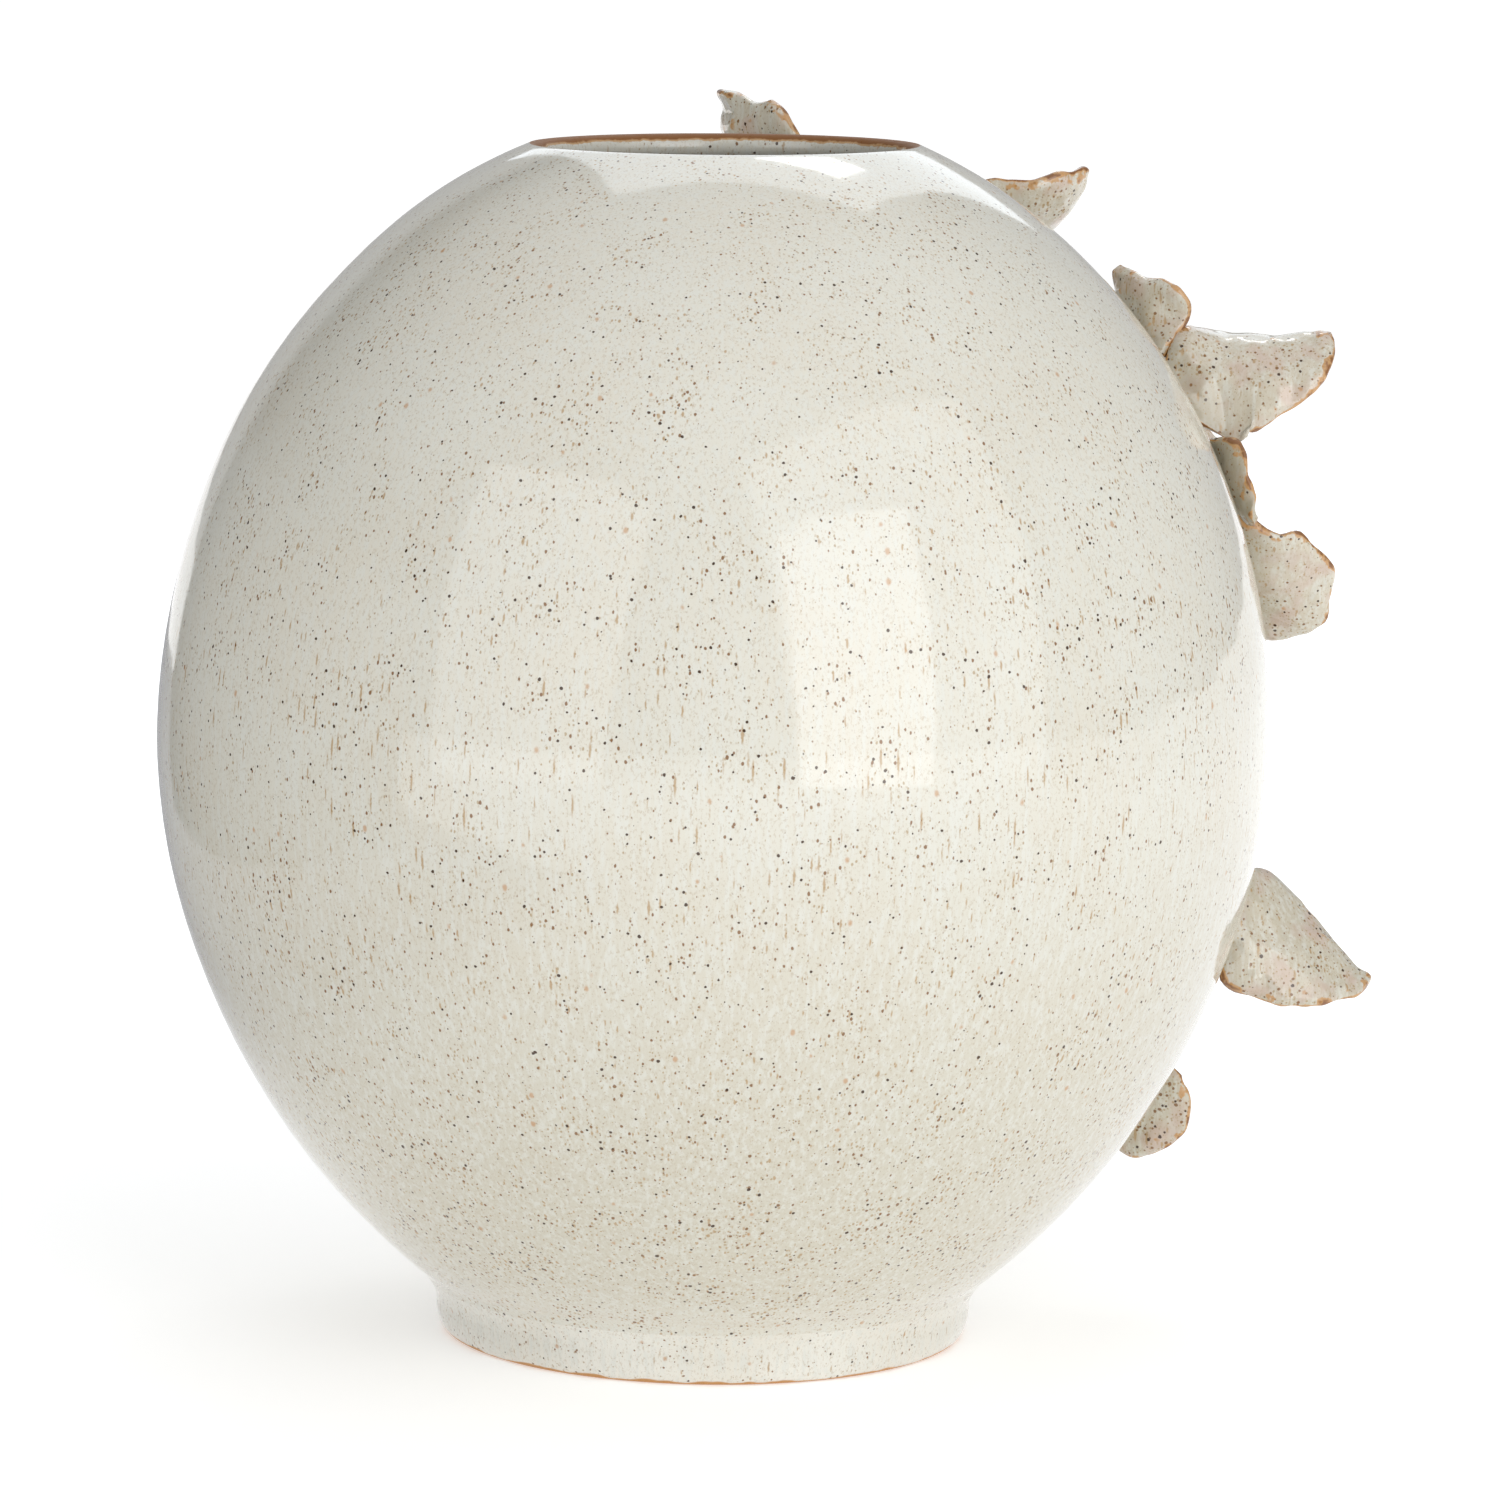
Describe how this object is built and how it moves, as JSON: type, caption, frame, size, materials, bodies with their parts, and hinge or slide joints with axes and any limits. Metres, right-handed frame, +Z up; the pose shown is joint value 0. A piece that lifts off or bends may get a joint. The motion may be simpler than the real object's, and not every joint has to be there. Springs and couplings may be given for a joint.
{
  "type": "stoneware vase",
  "caption": "Round stoneware globe vase with a small rolled mouth, a low turned foot ring and applied clay flowers on one side, in a speckled cream glaze.",
  "frame": {"origin": "middle of the face that the foot ring stands on", "axes": "+Z up along the axis of the mouth; the plain side faces -Y and the flowers are on the +X and +Y side"},
  "size_m": [0.2785, 0.25, 0.2759],
  "materials": {
    "body_glaze": "glossy speckled cream glaze",
    "foot_glaze": "glossy speckled cream glaze, bare clay on the standing edge",
    "petal_glaze": "glossy speckled cream glaze, breaking to brown on thin edges",
    "boss_glaze": "glossy cream glaze broken to brown"
  },
  "bodies": {
    "root": {"body": "body_glaze", "foot_ring": "foot_glaze", "upper_flower_boss": "boss_glaze", "middle_flower_boss": "boss_glaze", "lower_flower_boss": "boss_glaze", "upper_flower_petal_1": "petal_glaze", "upper_flower_petal_2": "petal_glaze", "upper_flower_petal_3": "petal_glaze", "upper_flower_petal_4": "petal_glaze", "upper_flower_petal_5": "petal_glaze", "upper_flower_petal_6": "petal_glaze", "middle_flower_petal_1": "petal_glaze", "middle_flower_petal_2": "petal_glaze", "middle_flower_petal_3": "petal_glaze", "middle_flower_petal_4": "petal_glaze", "middle_flower_petal_5": "petal_glaze", "middle_flower_petal_6": "petal_glaze", "lower_flower_petal_1": "petal_glaze", "lower_flower_petal_2": "petal_glaze", "lower_flower_petal_3": "petal_glaze", "lower_flower_petal_4": "petal_glaze", "lower_flower_petal_5": "petal_glaze", "lower_flower_petal_6": "petal_glaze"}
  },
  "joints": []
}
